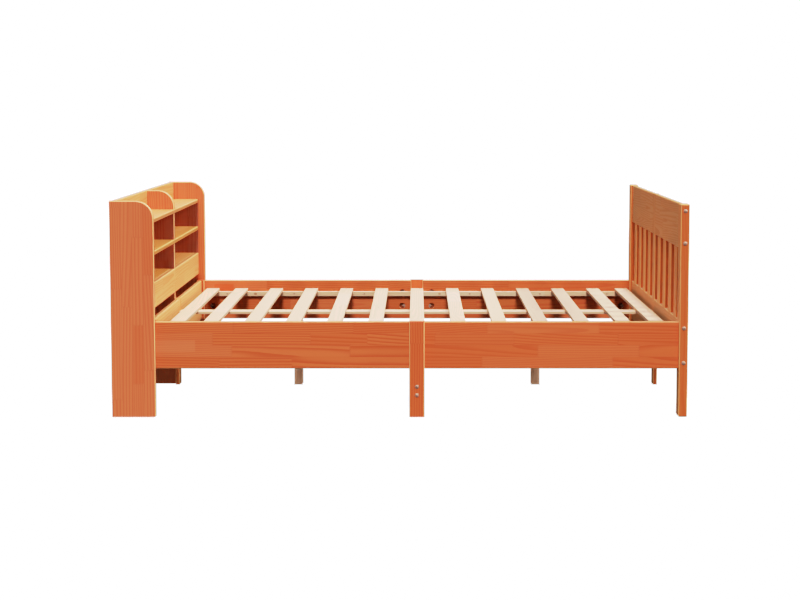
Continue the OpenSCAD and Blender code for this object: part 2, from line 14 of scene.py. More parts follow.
import bmesh
import bpy
import numpy as np
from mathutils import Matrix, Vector


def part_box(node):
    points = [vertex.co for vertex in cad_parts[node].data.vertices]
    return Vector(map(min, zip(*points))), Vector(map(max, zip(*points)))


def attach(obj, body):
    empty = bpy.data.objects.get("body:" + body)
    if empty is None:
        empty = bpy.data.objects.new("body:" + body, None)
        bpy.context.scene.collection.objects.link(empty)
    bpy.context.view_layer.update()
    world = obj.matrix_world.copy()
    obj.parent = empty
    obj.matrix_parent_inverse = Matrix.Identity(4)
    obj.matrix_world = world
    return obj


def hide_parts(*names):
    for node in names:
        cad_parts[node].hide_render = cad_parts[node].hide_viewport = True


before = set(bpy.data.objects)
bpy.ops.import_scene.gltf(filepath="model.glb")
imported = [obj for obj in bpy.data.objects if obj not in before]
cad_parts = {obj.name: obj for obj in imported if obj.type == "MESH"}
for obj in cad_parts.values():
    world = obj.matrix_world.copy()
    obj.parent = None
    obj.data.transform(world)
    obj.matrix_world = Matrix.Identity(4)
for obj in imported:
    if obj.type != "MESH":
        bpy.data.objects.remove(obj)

LOG = logging.getLogger("bed_frame")

Colour = tuple[float, float, float]
Pair = tuple[float, float]
Number = Union[float, "Field"]

SLATS = tuple(f"slat_{number:02d}" for number in range(1, 14))
SIDE_RAILS = (
    "side_rail_left_head",
    "side_rail_left_foot",
    "side_rail_right_head",
    "side_rail_right_foot",
)
SPINDLES = ("foot_spindles_left", "foot_spindles_right")


@dataclass(frozen=True)
class Field:
    """A number that varies over a surface, with Python's arithmetic on it."""

    graph: "Graph"
    socket: bpy.types.NodeSocket

    def __add__(self, other: Number) -> "Field":
        """Adds another number or field."""
        return self.graph.math("ADD", self, other)

    __radd__ = __add__

    def __sub__(self, other: Number) -> "Field":
        """Takes another number or field away."""
        return self.graph.math("SUBTRACT", self, other)

    def __rsub__(self, other: Number) -> "Field":
        """Takes this field away from a number."""
        return self.graph.math("SUBTRACT", other, self)

    def __mul__(self, other: Number) -> "Field":
        """Multiplies by another number or field."""
        return self.graph.math("MULTIPLY", self, other)

    __rmul__ = __mul__

    def __truediv__(self, other: Number) -> "Field":
        """Divides by another number or field."""
        return self.graph.math("DIVIDE", self, other)

    def __rtruediv__(self, other: Number) -> "Field":
        """Divides a number by this field."""
        return self.graph.math("DIVIDE", other, self)

    def __abs__(self) -> "Field":
        """Drops the sign."""
        return self.graph.math("ABSOLUTE", self)

    def __pow__(self, other: Number) -> "Field":
        """Raises to a power."""
        return self.graph.math("POWER", self, other)

    def __rpow__(self, other: Number) -> "Field":
        """Raises a number to the power of this field."""
        return self.graph.math("POWER", other, self)

    def floor(self) -> "Field":
        """Rounds down to a whole number."""
        return self.graph.math("FLOOR", self)

    def fraction(self) -> "Field":
        """Keeps what is left over the whole number below."""
        return self.graph.math("FRACT", self)

    def sine(self) -> "Field":
        """Takes the sine of an angle in radians."""
        return self.graph.math("SINE", self)

    def least(self, other: Number) -> "Field":
        """Takes the lower of this and another number or field."""
        return self.graph.math("MINIMUM", self, other)

    def most(self, other: Number) -> "Field":
        """Takes the higher of this and another number or field."""
        return self.graph.math("MAXIMUM", self, other)

    def rise(self, low: float, high: float) -> "Field":
        """Climbs smoothly from 0 to 1 between two values, or falls if low is the higher.

        Args:
            low: Value at which the result is 0.
            high: Value at which the result is 1.

        Returns:
            The smooth step.
        """
        turned = low > high
        step = self.graph.node(
            "ShaderNodeMapRange",
            {"interpolation_type": "SMOOTHSTEP"},
            {"Value": self, "From Min": min(low, high), "From Max": max(low, high)},
        )
        result = Field(self.graph, step.outputs["Result"])
        return 1.0 - result if turned else result

    def between(self, first: float, last: float, soft: float) -> "Field":
        """Gives 1 between two values and 0 outside them.

        Args:
            first: Lower value.
            last: Higher value.
            soft: Width of the slope outside each.

        Returns:
            The band.
        """
        return self.rise(first - soft, first) * self.rise(last + soft, last)


class Graph:
    """The node tree of one material or of the sky, written as expressions."""

    def __init__(self, owner: bpy.types.Material | bpy.types.World) -> None:
        """Empties the owner's tree.

        Args:
            owner: Material or world that has the tree.
        """
        owner.use_nodes = True
        self.owner = owner
        self.tree = owner.node_tree
        self.tree.nodes.clear()
        self.coordinates = self.node("ShaderNodeTexCoord")

    @classmethod
    def paint(cls, name: str) -> "Graph":
        """Starts the tree of a new material of that name."""
        return cls(bpy.data.materials.new(name))

    def node(
        self,
        kind: str,
        settings: dict[str, Any] | None = None,
        inputs: dict[Any, Any] | None = None,
    ) -> bpy.types.Node:
        """Adds one node.

        Args:
            kind: Blender's name for the node's type.
            settings: Properties of the node, which are set first.
            inputs: Values or links of its sockets, by name or number.

        Returns:
            The new node.
        """
        made = self.tree.nodes.new(kind)
        for key, value in (settings or {}).items():
            setattr(made, key, value)
        for key, value in (inputs or {}).items():
            if isinstance(value, Field):
                value = value.socket
            if isinstance(value, bpy.types.NodeSocket):
                self.tree.links.new(value, made.inputs[key])
            elif isinstance(value, tuple) and made.inputs[key].type == "RGBA":
                made.inputs[key].default_value = (*value, 1.0)
            else:
                made.inputs[key].default_value = value
        return made

    def math(self, operation: str, *values: Number) -> Field:
        """Adds a Math node.

        Args:
            operation: Blender's name for the operation.
            values: Numbers or fields that it takes.

        Returns:
            The result.
        """
        made = self.node("ShaderNodeMath", {"operation": operation}, dict(enumerate(values)))
        return Field(self, made.outputs[0])

    def place(self) -> list[Field]:
        """Gives the place on the object along X, Y and Z, in metres."""
        split = self.node("ShaderNodeSeparateXYZ", inputs={0: self.coordinates.outputs["Object"]})
        return [Field(self, output) for output in split.outputs]

    def facing(self) -> list[Field]:
        """Gives how far the surface faces along X, Y and Z, without sign."""
        split = self.node("ShaderNodeSeparateXYZ", inputs={0: self.coordinates.outputs["Normal"]})
        return [abs(Field(self, output)) for output in split.outputs]

    def point(self, along: Number, across: Number, deep: Number) -> bpy.types.NodeSocket:
        """Joins three numbers or fields into a vector."""
        inputs = dict(enumerate((along, across, deep)))
        return self.node("ShaderNodeCombineXYZ", inputs=inputs).outputs[0]

    def noise(
        self,
        vector: bpy.types.NodeSocket,
        scale: float,
        detail: float = 2.0,
        rough: float = 0.5,
    ) -> Field:
        """Adds smooth noise from 0 to 1.

        Args:
            vector: Where it is read.
            scale: Number of its lumps in one unit.
            detail: Number of finer layers.
            rough: Strength of each finer layer.

        Returns:
            The noise.
        """
        inputs = {"Vector": vector, "Scale": scale, "Detail": detail, "Roughness": rough}
        return Field(self, self.node("ShaderNodeTexNoise", {}, inputs).outputs[0])

    def chance(self, *values: Number) -> list[Field]:
        """Draws random numbers from 0 to 1 that stay the same where the values do.

        Args:
            values: Three numbers or fields.

        Returns:
            Three independent random fields.
        """
        settings, inputs = {"noise_dimensions": "3D"}, {"Vector": self.point(*values)}
        made = self.node("ShaderNodeTexWhiteNoise", settings, inputs)
        split = self.node("ShaderNodeSeparateColor", inputs={0: made.outputs["Color"]})
        return [Field(self, output) for output in split.outputs]

    def blend(
        self, share: Number, first: Any, second: Any, way: str = "MIX"
    ) -> bpy.types.NodeSocket:
        """Mixes two colours.

        Args:
            share: How much of the second is used.
            first: Colour, or socket that gives one.
            second: Colour, or socket that gives one.
            way: Blender's name for the way of mixing.

        Returns:
            The mixed colour.
        """
        settings = {"data_type": "RGBA", "blend_type": way}
        return self.node("ShaderNodeMix", settings, {0: share, 6: first, 7: second}).outputs[2]

    def finish(
        self,
        colour: Any,
        rough: Number,
        height: Field | None = None,
        lift: float = 0.0,
        **fixed: Any,
    ) -> bpy.types.Material:
        """Closes the tree with the shader.

        Args:
            colour: Base colour, or socket that gives it.
            rough: Roughness.
            height: Relief of the surface, from 0 to 1.
            lift: Real height of that relief in metres.
            fixed: Values of the shader's other sockets, by name with _ for a space.

        Returns:
            The finished material.
        """
        inputs = {"Base Color": colour, "Roughness": rough}
        inputs.update({key.replace("_", " "): value for key, value in fixed.items()})
        if height is not None:
            relief = {"Strength": 1.0, "Distance": lift, "Height": height}
            inputs["Normal"] = self.node("ShaderNodeBump", {}, relief).outputs[0]
        shader = self.node("ShaderNodeBsdfPrincipled", {}, inputs)
        self.node("ShaderNodeOutputMaterial", {}, {"Surface": shader.outputs[0]})
        return self.owner


class Grain(Enum):
    """Way in which a board's fibres run, as the number of that axis."""

    ALONG_X = 0
    ALONG_Y = 1
    ALONG_Z = 2


@dataclass(frozen=True)
class Mark:
    """A block or a knot that the photograph shows, as its middle and its half size.

    Its shade is the name of one of the pine's colours.
    """

    board: str
    middle: tuple[float, float, float]
    half: tuple[float, float, float]
    shade: str
    share: float
    knot: bool = False

    def cover(self, place: list[Field]) -> Field:
        """Works out where the mark is: a box, or the ellipsoid of a knot.

        Args:
            place: Place on the object along X, Y and Z.

        Returns:
            How much of the mark there is, up to its share.
        """
        away = [
            abs(spot - middle) / half
            for spot, middle, half in zip(place, self.middle, self.half)
        ]
        # A knot fades out from its middle, and a block has a crisp edge
        if self.knot:
            cover = (away[0] ** 2.0 + away[1] ** 2.0 + away[2] ** 2.0).rise(1.2, 0.3)
        else:
            cover = away[0].most(away[1]).most(away[2]).rise(1.02, 0.98)
        return cover * self.share


@dataclass(frozen=True)
class Layer:
    """A colour that comes with a field: absent at one value, and at its share at another."""

    absent: float
    full: float
    share: float

    def over(self, value: Field) -> Field:
        """Gives how much of the colour shows."""
        return value.rise(self.absent, self.full) * self.share


@dataclass(frozen=True)
class Streaks:
    """Noise that is drawn out along the fibres.

    It has its lumps in a metre along and across them, how far it jumps from block to
    block, the number of its finer layers and their strength.
    """

    along: float
    across: float
    jump: float
    detail: float
    rough: float


@dataclass(frozen=True)
class Figure:
    """How boards are glued up and how their wood grew, with lengths in metres.

    What a block draws by chance lies between its least and its least plus its spare. A
    pair holds the value at which something is absent and the one at which it is full.
    """

    # Strips, and the finger-jointed blocks along them, which swing to unequal lengths
    board_step: float = 3.7
    finger_width: float = 0.0045
    finger_length: float = 0.007
    strip_shift: float = 1.3
    swing: float = 0.055
    swing_rate: float = 7.0
    swing_phase: float = 6.0
    block_least: float = 0.28
    block_spare: float = 0.25
    # The heart of each block, and the growth rings round it
    heart_spread: float = 0.26
    heart_least: float = 0.020
    heart_spare: float = 0.06
    lean_across: float = 0.03
    lean_deep: float = 0.04
    ring_least: float = 0.0062
    ring_spare: float = 0.0050
    ring_dark: Pair = (0.35, 0.88)
    ring_end: Pair = (1.0, 0.95)
    # Noise that bends the rings, fine fibres, and clouds of a deeper tone
    sway: Streaks = Streaks(2.4, 12.0, 9.0, 3.0, 0.45)
    sway_bend: float = 0.008
    fibre: Streaks = Streaks(6.0, 420.0, 5.0, 3.0, 0.6)
    cloud: Streaks = Streaks(1.1, 22.0, 7.0, 2.0, 0.5)
    # Knots, and the swirl of the grain round them
    knot_scale: tuple[float, float, float] = (2.6, 9.0, 5.0)
    knot_step: float = 1.3
    knot_chance: Pair = (0.85, 0.89)
    knot_size: Pair = (0.085, 0.055)
    swirl_size: Pair = (0.30, 0.04)
    swirl_bend: float = 0.010
    # How squarely a face lies to an axis, and how far an edge is rounded
    squarely: Pair = (0.6, 0.9)
    rounded: Pair = (0.02, 0.16)
    # How much of each colour shows
    clouds: Layer = Layer(0.35, 0.85, 0.30)
    red_blocks: Layer = Layer(0.80, 0.95, 0.30)
    pale_blocks: Layer = Layer(0.72, 0.95, 0.35)
    dark_fibres: Layer = Layer(0.55, 0.95, 0.45)
    pale_fibres: Layer = Layer(0.45, 0.05, 0.30)
    swirl_share: float = 0.45
    knot_share: float = 0.9
    end_share: float = 0.45
    bore_shade_share: float = 0.95
    seam_share: float = 0.30
    # Where holes may have walls, how softly the cells' painted shade ends, and how wide the glue
    # lines are
    bore_skin: float = 0.0008
    bore_skin_soft: float = 0.0006
    bore_margin: float = 0.0075
    bore_margin_soft: float = 0.002
    shade_cells_soft: float = 0.001
    seam_side: float = 0.0005
    seam_end: float = 0.0025
    # Height of the relief, and what each thing adds to it and to the roughness
    relief: float = 0.0002
    fibre_height: float = 0.45
    early_height: float = 0.25
    seam_depth: float = 0.4
    knot_depth: float = 0.2
    fibre_rough: float = 0.12
    late_rough: float = 0.05


FIGURE = Figure()


class Board:
    """One board as fields over its surface, glued up from strips of finger-jointed blocks.

    Strips lie side by side across the board. Along each strip blocks follow each other
    with a zigzag joint. Every block has its own tone and its own heart, away from the
    strip; the growth rings are circles round that heart, bent by noise, so that they
    show as lines on the faces and as arcs on the ends.
    """

    def __init__(
        self, graph: Graph, node: str, grain: Grain, seed: int, strip: float, fitted: bool
    ) -> None:
        """Works out the strips, the blocks and what each block draws by chance.

        Args:
            graph: Tree of the board's material.
            node: Name of the board's node.
            grain: Way of its fibres.
            seed: Number that makes this board differ from the others.
            strip: Width of a strip.
            fitted: Whether that width gives way, so that whole strips fill the board.
        """
        low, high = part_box(node)
        self.graph, self.seed, self.size = graph, seed, high - low
        self.across, self.deep = sorted(
            (axis for axis in range(3) if axis != grain.value), key=lambda axis: -self.size[axis]
        )
        count = max(1, round(self.size[self.across] / strip))
        self.width = self.size[self.across] / count if fitted else strip
        self.place = graph.place()
        self.run = self.place[grain.value] + seed * FIGURE.board_step
        self.side = self.place[self.across] - low[self.across]
        self.depth = self.place[self.deep] - low[self.deep]

        self.lane = (self.side / self.width).floor().most(0.0).least(count - 1.0)
        shift, phase, length = graph.chance(self.lane, float(seed), 0.5)
        tooth = abs((self.side / FIGURE.finger_width).fraction() - 0.5)
        warped = self.run + tooth * (2.0 * FIGURE.finger_length) + shift * FIGURE.strip_shift
        swing = (warped * FIGURE.swing_rate + phase * FIGURE.swing_phase).sine()
        warped = warped + swing * FIGURE.swing
        self.blocks = warped / (length * FIGURE.block_spare + FIGURE.block_least)
        block = self.blocks.floor()
        self.draw = graph.chance(self.lane, block, seed + 0.25)
        self.other = graph.chance(self.lane, block, seed + 0.75)

    def streaks(self, kind: Streaks, draw: Field) -> Field:
        """Adds noise that is drawn out along the fibres.

        Args:
            kind: Its scales and its strength.
            draw: Random number that moves it from block to block.

        Returns:
            The noise, from 0 to 1.
        """
        deep = self.depth * kind.across + draw * kind.jump
        spot = self.graph.point(self.run * kind.along, self.side * kind.across, deep)
        return self.graph.noise(spot, 1.0, kind.detail, kind.rough)

    def knots(self) -> tuple[Field, Field]:
        """Scatters knots, which sit in the middle of rare cells of a Voronoi pattern.

        Returns:
            The knots, and the swirl of the grain round them.
        """
        along, across, deep = FIGURE.knot_scale
        step = self.seed * FIGURE.knot_step
        spot = self.graph.point(self.run * along, self.side * across, self.depth * deep + step)
        settings = {"feature": "F1", "voronoi_dimensions": "3D"}
        cells = self.graph.node("ShaderNodeTexVoronoi", settings, {"Vector": spot, "Scale": 1.0})
        split = self.graph.node("ShaderNodeSeparateColor", inputs={0: cells.outputs["Color"]})
        rare = Field(self.graph, split.outputs[0]).rise(*FIGURE.knot_chance)
        away = Field(self.graph, cells.outputs["Distance"])
        return away.rise(*FIGURE.knot_size) * rare, away.rise(*FIGURE.swirl_size) * rare

    def rings(self, swirl: Field) -> Field:
        """Works out the growth rings from how far the surface is from its block's heart.

        Args:
            swirl: Swirl of the grain round the knots.

        Returns:
            How dark the late wood is, from 0 to 1.
        """
        draw, other, sway = self.draw, self.other, FIGURE.sway
        spot = self.graph.point(
            self.run * sway.along + draw[0] * sway.jump,
            self.side * sway.across + draw[1] * sway.jump,
            self.depth * sway.across,
        )
        bend = self.graph.noise(spot, 1.0, sway.detail, sway.rough) - 0.5
        lean = (self.blocks.fraction() - 0.5) * (draw[0] - 0.5)
        middle = (self.lane + 0.5) * self.width + (draw[1] - 0.5) * FIGURE.heart_spread
        off_side = self.side - (middle + lean * FIGURE.lean_across)
        face = (draw[2] - 0.5).rise(-0.01, 0.01) * 2.0 - 1.0
        away = other[0] * FIGURE.heart_spare + FIGURE.heart_least + lean * FIGURE.lean_deep
        off_depth = self.depth - (face * away + self.size[self.deep] / 2)
        reach = (off_side * off_side + off_depth * off_depth) ** 0.5
        reach = reach + bend * FIGURE.sway_bend + swirl * FIGURE.swirl_bend
        ring = (reach / (other[1] * FIGURE.ring_spare + FIGURE.ring_least)).fraction()
        return ring.rise(*FIGURE.ring_dark) * ring.rise(*FIGURE.ring_end)

    def seams(self) -> Field:
        """Draws the glue lines between strips and at the ends of blocks.

        Returns:
            The lines, from 0 to 1.
        """
        beside = abs((self.side / self.width).fraction() - 0.5)
        ahead = abs(self.blocks.fraction() - 0.5)
        beside = beside.rise(0.5 - FIGURE.seam_side / self.width, 0.5)
        return beside.most(ahead.rise(0.5 - FIGURE.seam_end, 0.5))

    def drilled(self) -> Field:
        """Finds the walls of holes, which lie below the faces and away from the edges.

        Returns:
            The walls, from 0 to 1.
        """
        skin, margin = FIGURE.bore_skin, FIGURE.bore_margin
        below = self.depth.between(skin, self.size[self.deep] - skin, FIGURE.bore_skin_soft)
        inner = self.size[self.across] - margin
        return below * self.side.between(margin, inner, FIGURE.bore_margin_soft)

    def within(self, first: Vector, last: Vector) -> Field:
        """Finds what lies in a box that reaches as far to the left as to the right.

        Args:
            first: Lowest corner.
            last: Highest corner.

        Returns:
            The inside, from 0 to 1.
        """
        x, y, z = self.place
        soft = FIGURE.shade_cells_soft
        cell_shade = x.between(first.x, last.x, soft) * z.between(first.z, last.z, soft)
        return cell_shade * abs(y).rise(last.y + soft, last.y)


@dataclass(frozen=True)
class Pine:
    """Pine with its finish: colours in linear light, sizes in metres.

    Early and late are the two woods of a growth ring. Flank and inside multiply the
    colour with painted shade, on the board's narrow long sides and in a box of cells.
    Bore is painted shade on the walls of holes. Edge goes on rounded edges, partly as
    worn stain and partly as a painted highlight.
    """

    name: str
    early: Colour
    late: Colour
    red: Colour
    pale: Colour
    knot: Colour
    edge: Colour
    edge_share: float
    late_share: float
    strip: float
    rough: float
    coat: float
    side_shade: Colour = (1.0, 1.0, 1.0)
    cell_shade: Colour = (0.64, 0.85, 1.65)
    bore_shade: Colour = (0.24, 0.046, 0.014)

    def toned(self, tone: float) -> "Pine":
        """Shifts the wood towards its pale or its red colour.

        Args:
            tone: From -1 for red to 1 for pale.

        Returns:
            The shifted pine.
        """
        goal, share = np.array(self.pale if tone > 0 else self.red), abs(tone)
        early = tuple((np.array(self.early) * (1 - share) + goal * share).tolist())
        late = tuple((np.array(self.late) * (1 - share / 2) + goal * share / 2).tolist())
        return replace(self, early=early, late=late)

    def material(
        self,
        node: str,
        grain: Grain,
        seed: int,
        strip: float | None = None,
        bored: bool = False,
        shade_cells: tuple[Vector, Vector] | None = None,
        marks: Sequence[Mark] = (),
    ) -> bpy.types.Material:
        """Makes the wood of one board, as layers of colour over the early wood.

        Args:
            node: Name of the board's node.
            grain: Way of its fibres.
            seed: Number that makes this board differ from the others.
            strip: Width of its strips, where it isn't the finish's own.
            bored: Whether it has open holes, whose walls get painted shade.
            shade_cells: Corners of a box in which shade is painted, where there is one.
            marks: Blocks and knots at known places.

        Returns:
            The material.
        """
        graph = Graph.paint(f"{self.name}_{node}")
        board = Board(graph, node, grain, seed, strip or self.strip, not strip)
        knot, swirl = board.knots()
        dark = board.rings(swirl)
        fibre = board.streaks(FIGURE.fibre, board.draw[0])
        cloud = board.streaks(FIGURE.cloud, board.draw[2])
        facing = graph.facing()
        end = facing[grain.value].rise(*FIGURE.squarely)
        corner = (1.0 - facing[0].most(facing[1]).most(facing[2])).rise(*FIGURE.rounded)
        seam = board.seams() * (1.0 - corner)

        colour: Any = self.early
        for cover, shade in (
            (dark * self.late_share, self.late),
            (FIGURE.clouds.over(cloud), self.late),
            (FIGURE.red_blocks.over(board.other[2]), self.red),
            (FIGURE.pale_blocks.over(board.draw[0]), self.pale),
            (FIGURE.dark_fibres.over(fibre), self.late),
            (FIGURE.pale_fibres.over(fibre), self.pale),
            (swirl * FIGURE.swirl_share, self.late),
            (knot * FIGURE.knot_share, self.knot),
            *((mark.cover(board.place), getattr(self, mark.shade)) for mark in marks),
            (end * FIGURE.end_share, self.late),
        ):
            colour = graph.blend(cover, colour, shade)
        # Painted shade: the narrow long sides are multiplied by the flank colour
        side_shade = facing[board.across].rise(*FIGURE.squarely)
        colour = graph.blend(side_shade, colour, self.side_shade, "MULTIPLY")
        # Painted shade in the bookcase's cells: the colour is multiplied darker and bluer
        if shade_cells:
            colour = graph.blend(board.within(*shade_cells), colour, self.cell_shade, "MULTIPLY")
        # Painted shade on the walls of open holes
        if bored:
            colour = graph.blend(board.drilled() * FIGURE.bore_shade_share, colour, self.bore_shade)
        # Pale rounded edges: partly worn stain and partly a painted highlight
        colour = graph.blend(corner * self.edge_share, colour, self.edge)
        colour = graph.blend(seam * FIGURE.seam_share, colour, self.knot)

        height = fibre * FIGURE.fibre_height + (1.0 - dark) * FIGURE.early_height
        height = height - seam * FIGURE.seam_depth - knot * FIGURE.knot_depth
        rough = self.rough + (fibre - 0.5) * FIGURE.fibre_rough + dark * FIGURE.late_rough
        gloss = {"Coat_Weight": self.coat, "Coat_Roughness": 0.35, "Specular_IOR_Level": 0.2}
        return graph.finish(colour, rough, height, FIGURE.relief, **gloss)


@dataclass(frozen=True)
class Metal:
    """Zinc-plated steel of the fittings, with its lumps and scratches in a metre."""

    name: str
    colour: Colour
    shade: Colour
    rough: float
    metallic: float = 0.75
    cloud: float = 260.0
    shaded: Pair = (0.35, 0.7)
    scratch: float = 2400.0
    scratch_rough: float = 0.18
    relief: float = 0.00002

    def material(self) -> bpy.types.Material:
        """Makes the metal, with cloudy plating and fine scratches.

        Returns:
            The material.
        """
        graph = Graph.paint(self.name)
        spot = graph.coordinates.outputs["Object"]
        cloud = graph.noise(spot, self.cloud, 3.0)
        scratch = graph.noise(spot, self.scratch)
        colour = graph.blend(cloud.rise(*self.shaded), self.colour, self.shade)
        rough = self.rough + (scratch - 0.5) * self.scratch_rough
        return graph.finish(colour, rough, scratch, self.relief, Metallic=self.metallic)


STAINED = Pine(
    name="stained_pine",
    early=(0.70, 0.122, 0.030),
    late=(0.54, 0.055, 0.0105),
    red=(0.60, 0.078, 0.016),
    pale=(0.74, 0.165, 0.057),
    knot=(0.14, 0.018, 0.006),
    edge=(0.93, 0.47, 0.19),
    edge_share=0.85,
    late_share=0.72,
    strip=0.046,
    rough=0.5,
    coat=0.05,
)
# The same stain on the bookcase's walls and the two near rails, and a darker copy on the far
# rails as painted shade
WALL = replace(
    STAINED,
    name="wall_pine",
    early=(0.64, 0.145, 0.045),
    late=(0.55, 0.085, 0.022),
)
FAR_SHADED = replace(
    STAINED,
    name="far_shaded_pine",
    early=(0.51, 0.105, 0.025),
    late=(0.40, 0.046, 0.0098),
)
LINED = replace(
    STAINED,
    name="lined_pine",
    early=(0.70, 0.130, 0.033),
    late=(0.54, 0.064, 0.013),
    late_share=0.85,
)
EVEN = replace(
    STAINED,
    name="even_pine",
    pale=(0.72, 0.148, 0.046),
    late_share=0.62,
)
# The honey-coloured look, on the shelves, the uprights and the footboard: the stain made lighter
# and yellower, partly as painted light from the key lamp
HONEY_AND_LIGHT = replace(
    STAINED,
    name="honey_and_light_pine",
    early=(0.74, 0.290, 0.095),
    late=(0.66, 0.205, 0.055),
    red=(0.68, 0.200, 0.052),
    pale=(0.77, 0.345, 0.125),
    edge=(0.88, 0.46, 0.17),
    edge_share=0.6,
)
# Painted shade: darker copies of the honey look for the middle and the bottom shelf, which get
# less light
MIDDLE_SHADED = replace(
    HONEY_AND_LIGHT,
    name="middle_shaded_pine",
    early=(0.665, 0.262, 0.056),
    late=(0.600, 0.186, 0.032),
)
LOW_SHADED = replace(
    HONEY_AND_LIGHT,
    name="low_shaded_pine",
    early=(0.578, 0.211, 0.039),
    late=(0.500, 0.148, 0.024),
)
# Painted shade: the uprights' narrow long sides are multiplied darker and redder
UPRIGHT = replace(HONEY_AND_LIGHT, name="upright_pine", side_shade=(1.08, 0.52, 0.33))
FOOT = replace(
    HONEY_AND_LIGHT,
    name="foot_pine",
    early=(0.66, 0.295, 0.112),
    late=(0.58, 0.205, 0.064),
)
FOOT_RAIL = replace(
    FOOT,
    name="foot_rail_pine",
    early=(0.58, 0.252, 0.088),
    late=(0.51, 0.176, 0.050),
)
# The middle foot post gets the same painted shade on its narrow long sides
FOOT_UPRIGHT = replace(FOOT, name="foot_upright_pine", side_shade=UPRIGHT.side_shade)
RAW = Pine(
    name="raw_pine",
    early=(0.87, 0.52, 0.322),
    late=(0.74, 0.415, 0.237),
    red=(0.78, 0.48, 0.30),
    pale=(0.88, 0.62, 0.44),
    knot=(0.26, 0.11, 0.045),
    edge=(0.88, 0.64, 0.42),
    edge_share=0.4,
    late_share=0.5,
    strip=0.060,
    rough=0.62,
    coat=0.0,
)
# The zinc's warm tint is a painted reflection of the orange wood round the fittings
ZINC_AND_REFLECTION = Metal(name="zinc", colour=(0.52, 0.31, 0.225), shade=(0.39, 0.22, 0.155), rough=0.7)


MARKS = (
    Mark("side_rail_right_head", (-0.860, 0.700, 0.335), (0.046, 0.020, 0.019), "red", 0.85),
    Mark("side_rail_left_head", (-0.876, -0.709, 0.277), (0.078, 0.020, 0.023), "pale", 0.55),
    Mark("ledger_right_head", (-0.707, 0.670, 0.310), (0.009, 0.008, 0.007), "knot", 0.75, True),
    Mark("ledger_right_foot", (0.175, 0.670, 0.310), (0.007, 0.008, 0.006), "knot", 0.55, True),
)


def wear(node: str, material: bpy.types.Material) -> None:
    """Puts a material on a CAD node in place of the plain one.

    Args:
        node: Name of the node.
        material: Material that it gets.
    """
    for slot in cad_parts[node].material_slots:
        slot.link = "OBJECT"
        slot.material = material


@dataclass
class SubAssembly:
    """A group of boards: the way of their fibres, their finish and its exceptions.

    Bored boards have open holes with painted shade on their walls, boards listed as walled
    get painted shade in the cells, and a tone goes from -1 for red to 1 for pale.
    """

    seed: int
    boards: dict[str, Grain] = field(default_factory=dict)
    pine: Pine = STAINED
    finishes: dict[str, Pine] = field(default_factory=dict)
    bored: tuple[str, ...] = ()
    in_shade_cells: tuple[str, ...] = ()
    strips: dict[str, float] = field(default_factory=dict)
    tones: dict[str, float] = field(default_factory=dict)

    def dress(self) -> None:
        """Gives each board its own wood."""
        for number, (board, grain) in enumerate(self.boards.items()):
            pine = self.finishes.get(board, self.pine).toned(self.tones.get(board, 0.0))
            wood = pine.material(
                board,
                grain,
                self.seed + number,
                strip=self.strips.get(board),
                bored=board in self.bored,
                shade_cells=self.shade_cells() if board in self.in_shade_cells else None,
                marks=[mark for mark in MARKS if mark.board == board],
            )
            wear(board, wood)
            LOG.info("dressed %s in %s", board, wood.name)

    def shade_cells(self) -> tuple[Vector, Vector]:
        """Gives the corners of the box in which shade is painted on this group's boards."""
        return Vector(), Vector()


@dataclass
class Bookcase(SubAssembly):
    """Side panels, divider, back, shelves and aprons at the head."""

    seed: int = 10
    boards: dict[str, Grain] = field(
        default_factory=lambda: {
            "side_panel_left": Grain.ALONG_Z,
            "side_panel_right": Grain.ALONG_Z,
            "bookcase_divider": Grain.ALONG_Z,
            "bookcase_back": Grain.ALONG_Y,
            "shelf_top": Grain.ALONG_Y,
            "shelf_middle": Grain.ALONG_Y,
            "shelf_bottom": Grain.ALONG_Y,
            "apron_left": Grain.ALONG_Y,
            "apron_right": Grain.ALONG_Y,
        }
    )
    finishes: dict[str, Pine] = field(
        default_factory=lambda: {
            **dict.fromkeys(("bookcase_back", "shelf_top", "apron_left", "apron_right"), HONEY_AND_LIGHT),
            **dict.fromkeys(("bookcase_divider", "side_panel_right"), WALL),
            "shelf_middle": MIDDLE_SHADED,
            "shelf_bottom": LOW_SHADED,
        }
    )
    # These boards get painted shade in the cells between the shelves
    in_shade_cells: tuple[str, ...] = ("side_panel_left", "side_panel_right", "bookcase_divider")
    tones: dict[str, float] = field(default_factory=lambda: {"side_panel_left": 0.8})

    def shade_cells(self) -> tuple[Vector, Vector]:
        """Spans the cells between the upper and the lower shelf, up to the side panels, where
        shade is painted.

        Returns:
            The lowest and the highest corner.
        """
        low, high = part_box("shelf_top")
        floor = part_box("shelf_bottom")[1].z
        return Vector((low.x, low.y, floor)), Vector((high.x, high.y, low.z))


@dataclass
class HeadFrame(SubAssembly):
    """Rails, middle leg and corner blocks at the head."""

    seed: int = 30
    boards: dict[str, Grain] = field(
        default_factory=lambda: {
            "head_rail_left": Grain.ALONG_Y,
            "head_rail_right": Grain.ALONG_Y,
            "head_mid_leg": Grain.ALONG_Z,
            "corner_block_left": Grain.ALONG_Z,
            "corner_block_right": Grain.ALONG_Z,
        }
    )
    finishes: dict[str, Pine] = field(
        default_factory=lambda: {
            "head_rail_left": HONEY_AND_LIGHT,
            "head_rail_right": HONEY_AND_LIGHT,
            "head_mid_leg": UPRIGHT,
        }
    )


